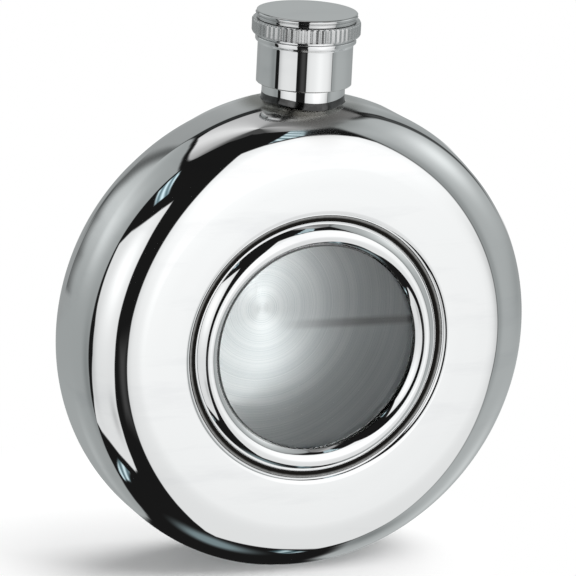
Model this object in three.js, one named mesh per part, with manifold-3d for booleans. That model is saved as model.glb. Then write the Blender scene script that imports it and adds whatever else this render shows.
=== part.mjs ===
import * as THREE from 'three';
import { mergeVertices } from 'three/addons/utils/BufferGeometryUtils.js';
import Module from 'manifold-3d';

// Round hip flask with a viewing window, in millimetres, +Z up, the window facing -Y.
// The origin is the middle of the footprint, on the surface that the flask stands on.

// Body: two drawn steel shells that meet at the middle of the rim
const bodyRadius = 48;
const bodyThickness = 29.4;
const rimRound = 11.6;
const shellWall = 0.8;
const footSag = 1.2;

// Clearances
const seatGap = 0.3;
const fitGap = 0.1;
const threadGap = 0.15;

// Window: convex bezel in a rolled seat, pane, seals and the ring nut that holds them in the front shell
const windowRadius = 20.8;
const bezelHeight = 0.95;
const crestRound = 2;
const crestLean = 32.6;
const flankRound = 4.2;
const innerLean = 55;
const outerLean = 60;
const lipEdge = 0.5;
const bezelFoot = 0.1;
const seatMargin = 1.05;
const seatRound = 1.45;
const paneLap = 2;
const paneThickness = 3;
const bezelSkirtWall = 0.8;
const sealThickness = 0.5;
const clampLap = 1;
const clampLip = 1;
const clampWidth = 2.2;

// Neck: threaded spout and the collar round its foot
const spoutRadius = 7;
const spoutWall = 2;
const spoutDepth = 4.6;
const spoutLip = 0.5;
const collarWall = 1.15;
const collarRise = 2.3;

// Screw cap: built outwards from the spout, its top, ledge and knurl standing out from the skirt
const insertWall = 0.7;
const insertInset = 0.6;
const capWall = 1.5;
const capSkirtHeight = 8.5;
const capChamfer = 0.2;
const capCove = 0.4;
const capTopProud = 0.7;
const capTopThickness = 1.5;
const capTopRound = 0.9;
const capTopStep = 0.3;
const ledgeProud = 0.55;
const ledgeHeight = 0.9;
const ledgeGroove = 0.5;
const knurlProud = 1.35;
const knurlDepth = 0.35;
const knurlHeight = 2.9;
const knurlEdge = 0.25;
const knurlTeeth = 60;
const ceiling = 0.8;
const linerThickness = 0.9;

// Facets
const arcSteps = 2;
const rimSteps = 3;
const roundSteps = 60;
const neckSteps = 40;

const half = bodyThickness / 2;
const reach = 4 * bodyRadius;
const wasm = await Module();
wasm.setup();

// Closed geometry as a solid that can be joined and cut
function solid(geometry) {
  const bare = geometry.clone();
  bare.deleteAttribute('normal');
  bare.deleteAttribute('uv');
  const merged = mergeVertices(bare, 1e-4);
  const corners = merged.index.array;
  const kept = [];
  for (let i = 0; i < corners.length; i += 3) {
    const [a, b, c] = corners.slice(i, i + 3);
    if (a !== b && b !== c && c !== a) kept.push(a, b, c);
  }
  return new wasm.Manifold(new wasm.Mesh({
    numProp: 3,
    vertProperties: new Float32Array(merged.attributes.position.array),
    triVerts: new Uint32Array(kept),
  }));
}

function geometryOf(shape) {
  const { vertProperties, triVerts } = shape.getMesh();
  const geometry = new THREE.BufferGeometry();
  geometry.setAttribute('position', new THREE.BufferAttribute(vertProperties, 3));
  geometry.setIndex(new THREE.BufferAttribute(triVerts, 1));
  geometry.computeVertexNormals();
  return geometry;
}

// Turns a profile of (radius, height) about Y; one that leaves the axis alone closes on itself
function turned(outline, steps, bends = arcSteps) {
  const points = outline.getPoints(bends);
  const onAxis = points[0].x === 0 && points.at(-1).x === 0;
  if (!onAxis) points.push(points[0].clone());
  return new THREE.LatheGeometry(points, steps);
}

// Stands a piece that was turned about Y up along Z
function upright(geometry) {
  return geometry.applyMatrix4(new THREE.Matrix4().set(
    1, 0, 0, 0,
    0, 0, -1, 0,
    0, 1, 0, 0,
    0, 0, 0, 1,
  ));
}

function profile(points) {
  const path = new THREE.Path().moveTo(...points[0]);
  points.slice(1).forEach((point) => path.lineTo(...point));
  return path;
}

// Square-cornered ring from one radius to another between two heights
function ring(inner, outer, low, high, steps) {
  return turned(profile([[inner, low], [outer, low], [outer, high], [inner, high]]), steps);
}

function disc(radius, low, high, steps) {
  return turned(profile([[0, low], [radius, low], [radius, high], [0, high]]), steps);
}

function piece(name, geometry, material) {
  const mesh = new THREE.Mesh(geometry, material);
  mesh.name = name;
  return mesh;
}

function finish(color, roughness, metalness) {
  return new THREE.MeshStandardMaterial({ color, roughness, metalness });
}

const polishedSteel = finish(0xd9dcdd, 0.06, 1);
const satinSteel = finish(0x9a9ea0, 0.35, 1);
const clearPane = new THREE.MeshStandardMaterial({
  color: 0xeef3f3,
  roughness: 0.03,
  metalness: 0,
  transparent: true,
  opacity: 0.25,
});
const silicone = finish(0x2b2d2e, 0.6, 0);
const nylon = finish(0xe6e4de, 0.5, 0);

// Round flat body with a full-round rim, grown or shrunk by an offset, and flat where it stands
function flatRound(offset) {
  const radius = bodyRadius + offset;
  const depth = half + offset;
  const round = Math.min(rimRound, half) + offset;
  const outline = new THREE.Path()
    .moveTo(0, -depth)
    .lineTo(radius - round, -depth)
    .absarc(radius - round, round - depth, round, -Math.PI / 2, 0)
    .absarc(radius - round, depth - round, round, 0, Math.PI / 2)
    .lineTo(0, depth);
  const floor = new THREE.BoxGeometry(reach, reach, reach)
    .translate(0, 0, footSag - radius - reach / 2);
  return solid(turned(outline, roundSteps, rimSteps)).subtract(solid(floor));
}

// Hollow that the bezel sits in: the face rolls down over a round edge to a flat floor
function seatHollow(floorRadius, depth, grow) {
  const lean = Math.acos(Math.max(0, 1 - depth / seatRound));
  const rim = floorRadius + seatRound * Math.sin(lean);
  const round = seatRound - grow;
  const outline = new THREE.Path()
    .moveTo(0, -half - seatRound)
    .lineTo(rim, -half - seatRound)
    .lineTo(rim, grow - half)
    .absarc(rim, seatRound - half, round, -Math.PI / 2, -Math.PI / 2 - lean, true)
    .lineTo(rim - round * Math.sin(lean), depth + grow - half)
    .lineTo(0, depth + grow - half);
  return solid(turned(outline, roundSteps));
}

// The walls of both shells, with the hole for the spout, cut in two at the middle of the rim
function shells({ openingRadius, seatRadius, seatDepth }) {
  const spoutHole = upright(new THREE.CylinderGeometry(
    spoutRadius + seatGap, spoutRadius + seatGap, reach, neckSteps,
  ).translate(0, reach / 2, 0));
  const opening = new THREE.CylinderGeometry(openingRadius, openingRadius, reach, roundSteps)
    .translate(0, -reach / 2, 0);
  const halfSpace = (side) => solid(new THREE.BoxGeometry(reach, reach, reach)
    .translate(0, side * reach / 2, 0));
  const inside = flatRound(-shellWall).subtract(seatHollow(seatRadius, seatDepth, shellWall));
  const walls = flatRound(0).subtract(seatHollow(seatRadius, seatDepth, 0)).subtract(inside)
    .subtract(solid(spoutHole));
  return [
    piece('front_shell', geometryOf(walls.intersect(halfSpace(-1)).subtract(solid(opening))), polishedSteel),
    piece('rear_shell', geometryOf(walls.intersect(halfSpace(1))), polishedSteel),
  ];
}

// Window pieces, measured inwards along +Y from the face of the front shell
function windowPieces() {
  const paneRadius = windowRadius + paneLap;
  const pocketRadius = paneRadius + fitGap;
  const skirtRadius = pocketRadius + bezelSkirtWall;
  const openingRadius = skirtRadius + fitGap;
  const turn = Math.PI / 180;
  const flank = (lean) => [
    flankRound * (Math.sin(lean * turn) - Math.sin(crestLean * turn)),
    flankRound * (Math.cos(crestLean * turn) - Math.cos(lean * turn)),
  ];
  const [innerReach, innerDrop] = flank(innerLean);
  const [outerReach, outerDrop] = flank(outerLean);
  const crestReach = crestRound * Math.sin(crestLean * turn);
  const shoulder = crestRound * (1 - Math.cos(crestLean * turn)) - bezelHeight;
  const crest = windowRadius + innerReach + crestReach;
  const crestCentre = crestRound - bezelHeight;
  const bezelRadius = crest + crestReach + outerReach;
  const bezelBase = shoulder + outerDrop + bezelFoot;
  const seatDepth = bezelBase + fitGap;
  const seatRadius = bezelRadius + seatMargin;
  const lipBack = shoulder + innerDrop + lipEdge;
  const swing = (flankRound - crestRound) * Math.sin(crestLean * turn);
  const flankCentre = crestCentre + (flankRound - crestRound) * Math.cos(crestLean * turn);
  const paneFront = lipBack + fitGap;
  const paneBack = paneFront + paneThickness;
  const paneSealBack = paneBack + fitGap + sealThickness;
  const shellBack = seatDepth + shellWall;
  const bodySealBack = shellBack + fitGap + sealThickness;
  const clampFront = bodySealBack + fitGap;
  const clampStep = paneSealBack + fitGap;
  const clampBack = clampStep + clampLip;
  const clampInner = windowRadius + clampLap;
  const clampOuter = openingRadius + clampWidth;

  const up = 1.5 * Math.PI;
  const bezel = new THREE.Path()
    .moveTo(windowRadius, lipBack)
    .absarc(crest + swing, flankCentre, flankRound, up - innerLean * turn, up - crestLean * turn)
    .absarc(crest, crestCentre, crestRound, up - crestLean * turn, up)
    .absarc(crest, crestCentre, crestRound, up, up + crestLean * turn)
    .absarc(crest - swing, flankCentre, flankRound, up + crestLean * turn, up + outerLean * turn)
    .lineTo(bezelRadius, bezelBase)
    .lineTo(skirtRadius, bezelBase)
    .lineTo(skirtRadius, paneBack)
    .lineTo(pocketRadius, paneBack)
    .lineTo(pocketRadius, lipBack);
  const clamp = profile([
    [openingRadius, clampFront],
    [clampOuter, clampFront],
    [clampOuter, clampBack],
    [clampInner, clampBack],
    [clampInner, clampStep],
    [openingRadius, clampStep],
  ]);
  const paneSeal = ring(clampInner, paneRadius, paneBack + fitGap, paneSealBack, roundSteps);
  const bodySeal = ring(openingRadius, clampOuter, shellBack + fitGap, bodySealBack, roundSteps);
  const group = new THREE.Group();
  group.add(
    piece('window_bezel', turned(bezel, roundSteps), polishedSteel),
    piece('window_pane', disc(paneRadius, paneFront, paneBack, roundSteps), clearPane),
    piece('pane_seal', paneSeal, silicone),
    piece('body_seal', bodySeal, silicone),
    piece('window_ring_nut', turned(clamp, roundSteps), satinSteel),
  );
  group.position.y = -half;
  return { group, openingRadius, seatRadius, seatDepth };
}

// Radii of the cap, and heights in it above the lower edge of its skirt
const insertInner = spoutRadius + threadGap;
const insertOuter = insertInner + insertWall;
const capBore = insertOuter + fitGap;
const capSkirtRadius = capBore + capWall;
const capTopRadius = capSkirtRadius + capTopProud;
const ledgeRadius = capSkirtRadius + ledgeProud;
const knurlRadius = capSkirtRadius + knurlProud;
const ledgeTop = capSkirtHeight + ledgeHeight;
const knurlBottom = ledgeTop + ledgeGroove;
const drumTop = knurlBottom + knurlHeight;
const ceilingHeight = drumTop - ceiling;
const linerTop = ceilingHeight - fitGap;
const linerBottom = linerTop - linerThickness;
const capBottom = collarRise + seatGap;

// Spout and collar, measured up from the crown of the rim
function neck() {
  const spoutBore = spoutRadius - spoutWall;
  const spoutTop = capBottom + linerBottom - fitGap;
  const collarInner = spoutRadius + fitGap;
  const collarOuter = collarInner + collarWall;
  const spout = profile([
    [spoutBore, -spoutDepth],
    [spoutRadius, -spoutDepth],
    [spoutRadius, spoutTop - spoutLip],
    [spoutRadius - spoutLip, spoutTop],
    [spoutBore, spoutTop],
  ]);
  const sleeve = upright(ring(collarInner, collarOuter, -bodyRadius, collarRise, neckSteps))
    .translate(0, 0, bodyRadius);
  const collar = geometryOf(solid(sleeve).subtract(flatRound(seatGap))).translate(0, 0, -bodyRadius);
  const group = new THREE.Group();
  group.add(
    piece('neck_spout', upright(turned(spout, neckSteps)), polishedSteel),
    piece('neck_collar', collar, polishedSteel),
  );
  group.position.z = bodyRadius;
  return group;
}

// Band of straight flutes, thinned at both edges, that is pressed over the cap's drum
function knurlBand() {
  const root = knurlRadius - knurlDepth;
  const teeth = new THREE.Shape();
  for (let i = 0; i < 2 * knurlTeeth; i += 1) {
    const angle = i * Math.PI / knurlTeeth;
    const radius = i % 2 ? root : knurlRadius;
    const corner = [radius * Math.cos(angle), radius * Math.sin(angle)];
    if (i) teeth.lineTo(...corner);
    else teeth.moveTo(...corner);
  }
  teeth.closePath();
  const fluted = new THREE.ExtrudeGeometry(teeth, {
    depth: knurlHeight, bevelEnabled: false, steps: 1,
  }).translate(0, 0, knurlBottom);
  const inner = capSkirtRadius + fitGap;
  const edge = root - knurlEdge;
  const flare = knurlEdge + knurlDepth + knurlEdge;
  const blank = profile([
    [inner, knurlBottom],
    [edge, knurlBottom],
    [edge + flare, knurlBottom + flare],
    [edge + flare, drumTop - flare],
    [edge, drumTop],
    [inner, drumTop],
  ]);
  return geometryOf(solid(upright(turned(blank, neckSteps))).intersect(solid(fluted)));
}

// Cap shell with its chamfered skirt, cove, ledge and drum
function capShell() {
  const outline = new THREE.Path()
    .moveTo(0, 0)
    .lineTo(capSkirtRadius - capChamfer, 0)
    .lineTo(capSkirtRadius, capChamfer)
    .lineTo(capSkirtRadius, capSkirtHeight - capCove)
    .lineTo(ledgeRadius, capSkirtHeight)
    .lineTo(ledgeRadius, ledgeTop)
    .lineTo(capSkirtRadius, ledgeTop)
    .lineTo(capSkirtRadius, drumTop)
    .lineTo(0, drumTop);
  const hollow = disc(capBore, -ceilingHeight, ceilingHeight, neckSteps);
  return geometryOf(solid(upright(turned(outline, neckSteps))).subtract(solid(upright(hollow))));
}

// Plate that closes the cap, with a rounded upper edge over a narrower step
function capTop() {
  const low = drumTop + fitGap;
  const high = low + capTopThickness;
  const round = Math.min(capTopRound, 0.4 * capTopThickness);
  const stepTop = high - 2 * round;
  const edge = new THREE.Path()
    .moveTo(0, low)
    .lineTo(capTopRadius - 2 * capTopStep, low)
    .lineTo(capTopRadius - capTopStep, stepTop)
    .absarc(capTopRadius - round, high - round, round, -Math.PI / 4, 0)
    .absarc(capTopRadius - round, high - round, round, 0, Math.PI / 2)
    .lineTo(0, high);
  return upright(turned(edge, neckSteps));
}

function cap() {
  const insert = ring(insertInner, insertOuter, insertInset, linerBottom - fitGap, neckSteps);
  const liner = disc(insertOuter, linerBottom, linerTop, neckSteps);
  const group = new THREE.Group();
  group.add(
    piece('cap_shell', capShell(), polishedSteel),
    piece('cap_knurl_band', knurlBand(), polishedSteel),
    piece('cap_top_plate', capTop(), polishedSteel),
    piece('cap_thread_insert', upright(insert), nylon),
    piece('cap_liner', upright(liner), silicone),
  );
  group.position.z = bodyRadius + capBottom;
  return group;
}

const view = windowPieces();
const body = new THREE.Group();
body.add(...shells(view), view.group, neck(), cap());
body.position.set(0, bezelHeight / 2, bodyRadius - footSag);

const flask = new THREE.Group();
flask.add(body);

export default flask;
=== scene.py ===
import math

import bmesh
import bpy
import numpy as np
from mathutils import Matrix, Vector


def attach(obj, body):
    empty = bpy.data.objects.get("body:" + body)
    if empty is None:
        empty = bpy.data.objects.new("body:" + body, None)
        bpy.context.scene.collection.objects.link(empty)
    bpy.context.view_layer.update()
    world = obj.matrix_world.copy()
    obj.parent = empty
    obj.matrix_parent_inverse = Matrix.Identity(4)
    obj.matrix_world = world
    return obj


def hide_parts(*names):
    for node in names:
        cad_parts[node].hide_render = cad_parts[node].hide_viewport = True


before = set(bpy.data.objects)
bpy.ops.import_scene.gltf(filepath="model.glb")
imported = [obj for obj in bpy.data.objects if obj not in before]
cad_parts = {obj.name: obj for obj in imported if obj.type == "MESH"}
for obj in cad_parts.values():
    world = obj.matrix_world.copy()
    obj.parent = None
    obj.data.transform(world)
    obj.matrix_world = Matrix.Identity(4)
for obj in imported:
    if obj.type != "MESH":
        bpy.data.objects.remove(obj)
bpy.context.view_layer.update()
scene = bpy.context.scene
scene.view_settings.view_transform = "Standard"
mm = 0.001
print("frame loaded:", len(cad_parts), "nodes")

# Where things are, in millimetres: the body turns about Y through bodyCentre, neck and cap about Z
bodyCentre = (0.0, 0.475, 46.8)
windowFace = bodyCentre[1] - 14.7
crown = bodyCentre[2] + 48.0
capFoot = crown + 2.6


# Profiles and turned meshes

cornerSteps = 5
sideShare = 0.49
axisNear = 1e-6
uvScale = 0.02
sharpTurn = 32
cutSharpTurn = 50


def arc(cx, cy, rx, ry, start, end, steps):
    turn = [math.radians(start + (end - start) * i / steps) for i in range(steps + 1)]
    return [(cx + rx * math.cos(t), cy + ry * math.sin(t)) for t in turn]


def soften(corners):
    # corners are (radius, height, rounding); a rounding of 0 keeps the corner
    made = []
    count = len(corners)
    for i, (r, h, rounding) in enumerate(corners):
        here = Vector((r, h))
        if rounding <= 0:
            made.append((r, h))
            continue
        before = Vector(corners[i - 1][:2]) - here
        after = Vector(corners[(i + 1) % count][:2]) - here
        reach = min(rounding, sideShare * before.length, sideShare * after.length)
        a = here + before.normalized() * reach
        b = here + after.normalized() * reach
        for k in range(cornerSteps + 1):
            t = k / cornerSteps
            p = a * (1 - t) ** 2 + here * 2 * t * (1 - t) + b * t ** 2
            made.append((p.x, p.y))
    return made


def makeRings(mesh, points, steps, place, shape=None, upright=False):
    rings = []
    for i, (r, h) in enumerate(points):
        ring = []
        for s in range(1 if r < axisNear else steps):
            a = 2 * math.pi * s / steps
            if upright:
                spot = Vector((r * math.cos(a), r * math.sin(a), h))
            else:
                spot = Vector((r * math.sin(a), h, r * math.cos(a)))
            if shape:
                spot = shape(spot, i)
            ring.append(mesh.verts.new((spot + Vector(place)) * mm))
        rings.append(ring)
    return rings


def skinRings(mesh, uv, rings, points, steps, slots=None):
    # faces from each ring to the next; the UV map runs round, and along the section
    length = [0.0]
    for a, b in zip(points, points[1:]):
        length.append(length[-1] + math.dist(a, b))
    for i, (low, high) in enumerate(zip(rings, rings[1:])):
        for s in range(steps):
            n = (s + 1) % steps
            corners = [(low[s % len(low)], s, i), (low[n % len(low)], s + 1, i),
                       (high[n % len(high)], s + 1, i + 1), (high[s % len(high)], s, i + 1)]
            if len(low) == 1:
                corners = corners[1:]
            elif len(high) == 1:
                corners = corners[:3]
            face = mesh.faces.new([c[0] for c in corners])
            face.smooth = True
            face.material_index = slots[i] if slots else 0
            for loop, (_, along, up) in zip(face.loops, corners):
                loop[uv].uv = (along / steps, length[up] * uvScale)


def finishMesh(name, mesh):
    bmesh.ops.recalc_face_normals(mesh, faces=mesh.faces)
    data = bpy.data.meshes.new(name)
    mesh.to_mesh(data)
    mesh.free()
    data.set_sharp_from_angle(angle=math.radians(sharpTurn))
    return data


def turnMesh(name, points, steps, place, slots=None, shape=None, upright=False):
    # points run round the section; a run that starts and ends on the axis closes there
    mesh = bmesh.new()
    uv = mesh.loops.layers.uv.new("turn")
    rings = makeRings(mesh, points, steps, place, shape, upright)
    onAxis = points[0][0] < axisNear and points[-1][0] < axisNear
    if not onAxis:
        points, rings = points + points[:1], rings + rings[:1]
    skinRings(mesh, uv, rings, points, steps, slots)
    return finishMesh(name, mesh)


def addPiece(name, data, materials, body, nodes=()):
    # a mesh out of Geometry Nodes brings its own finish
    if not len(data.materials):
        for material in materials:
            data.materials.append(material)
    piece = bpy.data.objects.new(name, data)
    scene.collection.objects.link(piece)
    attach(piece, body)
    if nodes:
        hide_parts(*nodes)


# Node helpers

def joinNodes(tree, kind, inputs=(), **settings):
    node = tree.nodes.new(kind)
    for key, value in settings.items():
        setattr(node, key, value)
    for key, value in dict(inputs).items():
        if isinstance(value, bpy.types.NodeSocket):
            tree.links.new(value, node.inputs[key])
        else:
            node.inputs[key].default_value = value
    return node


def figure(tree, operation, *values):
    return joinNodes(tree, "ShaderNodeMath", dict(enumerate(values)), operation=operation).outputs[0]


def squared(tree, value):
    return figure(tree, "MULTIPLY", value, value)


def smoothSpan(tree, value, low, high, newHigh=1.0):
    return joinNodes(tree, "ShaderNodeMapRange", {
        "Value": value, "From Min": low, "From Max": high, "To Max": newHigh},
        interpolation_type="SMOOTHSTEP").outputs[0]


def newMaterial(name):
    material = bpy.data.materials.new(name)
    material.use_nodes = True
    tree = material.node_tree
    tree.nodes.clear()
    out = tree.nodes.new("ShaderNodeOutputMaterial")
    shader = tree.nodes.new("ShaderNodeBsdfPrincipled")
    tree.links.new(shader.outputs[0], out.inputs[0])
    return material, tree, shader


def objectPoint(tree, scale=(1, 1, 1), turn=(0, 0, 0), shift=(0, 0, 0)):
    point = joinNodes(tree, "ShaderNodeTexCoord")
    spread = joinNodes(tree, "ShaderNodeMapping", {
        "Vector": point.outputs["Object"], "Scale": scale, "Rotation": turn, "Location": shift})
    return spread.outputs[0]


def noise(tree, point, scale, detail, rough):
    return joinNodes(tree, "ShaderNodeTexNoise", {
        "Vector": point, "Scale": scale, "Detail": detail, "Roughness": rough}).outputs["Fac"]


def span(tree, value, low, high, newLow, newHigh):
    return joinNodes(tree, "ShaderNodeMapRange", {
        "Value": value, "From Min": low, "From Max": high, "To Min": newLow, "To Max": newHigh}).outputs[0]


def blendColors(tree, factor, first, second):
    mix = joinNodes(tree, "ShaderNodeMix", data_type="RGBA")
    for key, value in (("Factor_Float", factor), ("A_Color", first), ("B_Color", second)):
        socket = next(s for s in mix.inputs if s.identifier == key)
        if isinstance(value, bpy.types.NodeSocket):
            tree.links.new(value, socket)
        else:
            socket.default_value = value
    return next(s for s in mix.outputs if s.identifier == "Result_Color")


def shadeTones(tones, names, shade):
    return [tuple(c * shade for c in tones[k][:3]) + (1,) for k in names]


def addBump(tree, shader, height, strength, distance):
    bump = joinNodes(tree, "ShaderNodeBump", {"Height": height, "Strength": strength, "Distance": distance})
    tree.links.new(bump.outputs[0], shader.inputs["Normal"])


# Polished steel: a mirror with wipe marks, a faint haze, hairline scratches and the slow wave of drawn sheet

polish = dict(
    clean=(0.905, 0.91, 0.912, 1), dull=(0.84, 0.846, 0.854, 1), sheen=0.012, haze=0.02, hairline=0.04, wave=0.00002,
    smear=(38, 5, 0.6), sway=(26, 1, 0.4), wipe=(1, 5, 0.62), wipeScale=(26, 60, 150), wipeTurn=(0, 0.35, 0),
    hair=(1, 2, 0.5), hairScale=(40, 2600, 2600), hairTurns=((0.3, 0.9, 0.2), (1.1, -0.4, 0.8)),
)
heatAndReflection = dict(tint=(0.34, 0.33, 0.305, 1), inner=0.0098, outer=0.0145, rough=0.22, foot=(-0.012, -0.008),
            side=(-0.004, 0.006), sideLeast=0.6)


def neckHeatAndReflection(tree):
    # heat tint where the weld has dulled the crown, and painted reflection: the crown darkened as if it mirrored the
    # cap and neck, most of all on the -X side
    point = objectPoint(tree, shift=(0, -bodyCentre[1] * mm, -crown * mm))
    x, y, z = joinNodes(tree, "ShaderNodeSeparateXYZ", {"Vector": point}).outputs
    radius = figure(tree, "SQRT", figure(tree, "ADD", squared(tree, x), squared(tree, y)))
    ring = smoothSpan(tree, radius, heatAndReflection["outer"], heatAndReflection["inner"])
    above = span(tree, z, *heatAndReflection["foot"], 0, 1)
    side = span(tree, x, *heatAndReflection["side"], 1, heatAndReflection["sideLeast"])
    return figure(tree, "MULTIPLY", figure(tree, "MULTIPLY", ring, above), side)


def polishedSteel(name, haze=1.0, wave=1.0, sheen=polish["sheen"], shade=1.0, heatAndReflectionAtNeck=False):
    material, tree, shader = newMaterial(name)
    smear = noise(tree, objectPoint(tree), *polish["smear"])
    wipe = noise(tree, objectPoint(tree, polish["wipeScale"], polish["wipeTurn"]), *polish["wipe"])
    color = blendColors(tree, span(tree, wipe, 0.52, 0.74, 0, 1), *shadeTones(polish, ("clean", "dull"), shade))
    lines = None
    for turn in polish["hairTurns"]:
        hair = noise(tree, objectPoint(tree, polish["hairScale"], turn), *polish["hair"])
        hair = span(tree, hair, 0.66, 0.74, 0, 1)
        lines = figure(tree, "MAXIMUM", lines, hair) if lines else hair
    rough = figure(tree, "ADD", span(tree, smear, 0.35, 0.75, sheen, sheen + polish["haze"] * haze),
                   figure(tree, "MULTIPLY", lines, polish["hairline"] * haze))
    # heat tint and painted reflection darken the crown round the neck
    if heatAndReflectionAtNeck:
        heatAndReflectionMask = neckHeatAndReflection(tree)
        color = blendColors(tree, heatAndReflectionMask, color, heatAndReflection["tint"])
        rough = figure(tree, "ADD", rough, figure(tree, "MULTIPLY", heatAndReflectionMask, heatAndReflection["rough"]))
    tree.links.new(color, shader.inputs["Base Color"])
    tree.links.new(rough, shader.inputs["Roughness"])
    addBump(tree, shader, noise(tree, objectPoint(tree), *polish["sway"]), 0.5 * wave, polish["wave"])
    shader.inputs["Metallic"].default_value = 1.0
    return material


def windowRadius(tree):
    # distance from the window's axis
    point = objectPoint(tree, shift=tuple(-c * mm for c in bodyCentre))
    x, _, z = joinNodes(tree, "ShaderNodeSeparateXYZ", {"Vector": point}).outputs
    return figure(tree, "SQRT", figure(tree, "ADD", squared(tree, x), squared(tree, z)))


# Turned steel: fine circular tool marks that stretch the gloss into wedges

turning = dict(
    light=(0.9, 0.925, 0.935, 1), dark=(0.72, 0.765, 0.78, 1), metal=0.72, gloss=0.34, glossSpread=0.06,
    stretch=0.4, stretchTurn=0.25, marks=5200.0, bands=420.0, bandShare=0.4, strength=0.6, depth=0.00002,
    streak=(0.15, 0.155, 0.16, 1), streakMost=0.85, streakWidth=0.0013, streakFrom=(0.003, 0.022), drop=0.0035,
)


def paintedReflectionLine(tree):
    # painted reflection: one dark line from the middle of the back wall out to +X, standing in for a dark edge
    # mirrored in the turned steel
    shift = (-bodyCentre[0] * mm, -bodyCentre[1] * mm, turning["drop"] - bodyCentre[2] * mm)
    x, _, z = joinNodes(tree, "ShaderNodeSeparateXYZ", {"Vector": objectPoint(tree, shift=shift)}).outputs
    near = figure(tree, "DIVIDE", figure(tree, "ABSOLUTE", z), turning["streakWidth"])
    line = smoothSpan(tree, near, 1.0, 0.2, turning["streakMost"])
    return figure(tree, "MULTIPLY", line, span(tree, x, *turning["streakFrom"], 0, 1))


def ringNoise(tree, radius, scale, detail):
    return joinNodes(tree, "ShaderNodeTexNoise", {"W": radius, "Scale": scale, "Detail": detail},
                     noise_dimensions="1D").outputs["Fac"]


def turnedSteel(name):
    material, tree, shader = newMaterial(name)
    radius = windowRadius(tree)
    line = ringNoise(tree, radius, turning["marks"], 2.0)
    broad = ringNoise(tree, radius, turning["bands"], 1.0)
    tone = figure(tree, "ADD", figure(tree, "MULTIPLY", line, 1 - turning["bandShare"]),
                  figure(tree, "MULTIPLY", broad, turning["bandShare"]))
    metal = blendColors(tree, span(tree, tone, 0.35, 0.65, 0, 1), turning["dark"], turning["light"])
    tree.links.new(blendColors(tree, paintedReflectionLine(tree), metal, turning["streak"]), shader.inputs["Base Color"])
    gloss, spread = turning["gloss"], turning["glossSpread"]
    tree.links.new(span(tree, line, 0.3, 0.7, gloss - spread, gloss + spread), shader.inputs["Roughness"])
    addBump(tree, shader, line, turning["strength"], turning["depth"])
    grain = joinNodes(tree, "ShaderNodeTangent", direction_type="UV_MAP", uv_map="turn")
    tree.links.new(grain.outputs[0], shader.inputs["Tangent"])
    shader.inputs["Anisotropic"].default_value = turning["stretch"]
    shader.inputs["Anisotropic Rotation"].default_value = turning["stretchTurn"]
    shader.inputs["Metallic"].default_value = turning["metal"]
    return material


# Floor of the bezel's seat: painted shade, steel painted darker into the crevice

creviceShade = dict(black=(0.012, 0.011, 0.01, 1), clear=(0.5, 0.5, 0.49, 1), inner=0.0263, outer=0.0270, ragged=0.00004,
               rough=0.22, roughSpread=0.05, stain=(900, 3, 0.6))


def creviceShadeSteel(name):
    material, tree, shader = newMaterial(name)
    t = creviceShade
    stain = noise(tree, objectPoint(tree), *t["stain"])
    radius = figure(tree, "ADD", windowRadius(tree), span(tree, stain, 0.3, 0.7, -t["ragged"], t["ragged"]))
    # painted shade: black at the crevice, clearing to grey steel further out, with a ragged edge
    tone = span(tree, radius, t["inner"], t["outer"], 0, 1)
    tree.links.new(blendColors(tree, tone, t["black"], t["clear"]), shader.inputs["Base Color"])
    rough = span(tree, stain, 0.3, 0.7, t["rough"] - t["roughSpread"], t["rough"] + t["roughSpread"])
    tree.links.new(rough, shader.inputs["Roughness"])
    shader.inputs["Metallic"].default_value = 1.0
    return material


# Heat-tinted weld, a nut darkened as painted shade, clear pane, silicone and nylon

weld = dict(bright=(0.13, 0.13, 0.13, 1), burnt=(0.06, 0.06, 0.06, 1), rough=(0.1, 0.18), stain=(320, 4, 0.6),
            ripple=(1400, 2, 0.5), depth=0.00001)


def weldSteel(name, shade=1.0):
    material, tree, shader = newMaterial(name)
    stain = noise(tree, objectPoint(tree), *weld["stain"])
    color = blendColors(tree, span(tree, stain, 0.4, 0.65, 0, 1), *shadeTones(weld, ("burnt", "bright"), shade))
    tree.links.new(color, shader.inputs["Base Color"])
    tree.links.new(span(tree, stain, 0.3, 0.7, *weld["rough"]), shader.inputs["Roughness"])
    addBump(tree, shader, noise(tree, objectPoint(tree), *weld["ripple"]), 0.3, weld["depth"])
    shader.inputs["Metallic"].default_value = 1.0
    return material


clear = dict(color=(0.985, 0.995, 0.99, 1), ior=1.49, wipe=(60, 3, 0.5), smear=0.02)


def clearPane(name):
    material, tree, shader = newMaterial(name)
    wipe = noise(tree, objectPoint(tree), *clear["wipe"])
    tree.links.new(span(tree, wipe, 0.5, 0.8, 0.0, clear["smear"]), shader.inputs["Roughness"])
    shader.inputs["Base Color"].default_value = clear["color"]
    shader.inputs["Transmission Weight"].default_value = 1.0
    shader.inputs["IOR"].default_value = clear["ior"]
    return material


plastic = dict(grain=(4, 0.6), cloud=(2, 0.5), cloudScale=0.06, spread=0.08, strength=0.3, depth=0.00004)


def softPlastic(name, light, dark, rough, scale):
    material, tree, shader = newMaterial(name)
    spread = plastic["spread"]
    grain = noise(tree, objectPoint(tree), scale, *plastic["grain"])
    cloud = noise(tree, objectPoint(tree), scale * plastic["cloudScale"], *plastic["cloud"])
    tree.links.new(blendColors(tree, span(tree, cloud, 0.3, 0.7, 0, 1), dark, light), shader.inputs["Base Color"])
    tree.links.new(span(tree, grain, 0.3, 0.7, rough - spread, rough + spread), shader.inputs["Roughness"])
    addBump(tree, shader, grain, plastic["strength"], plastic["depth"])
    return material


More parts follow.
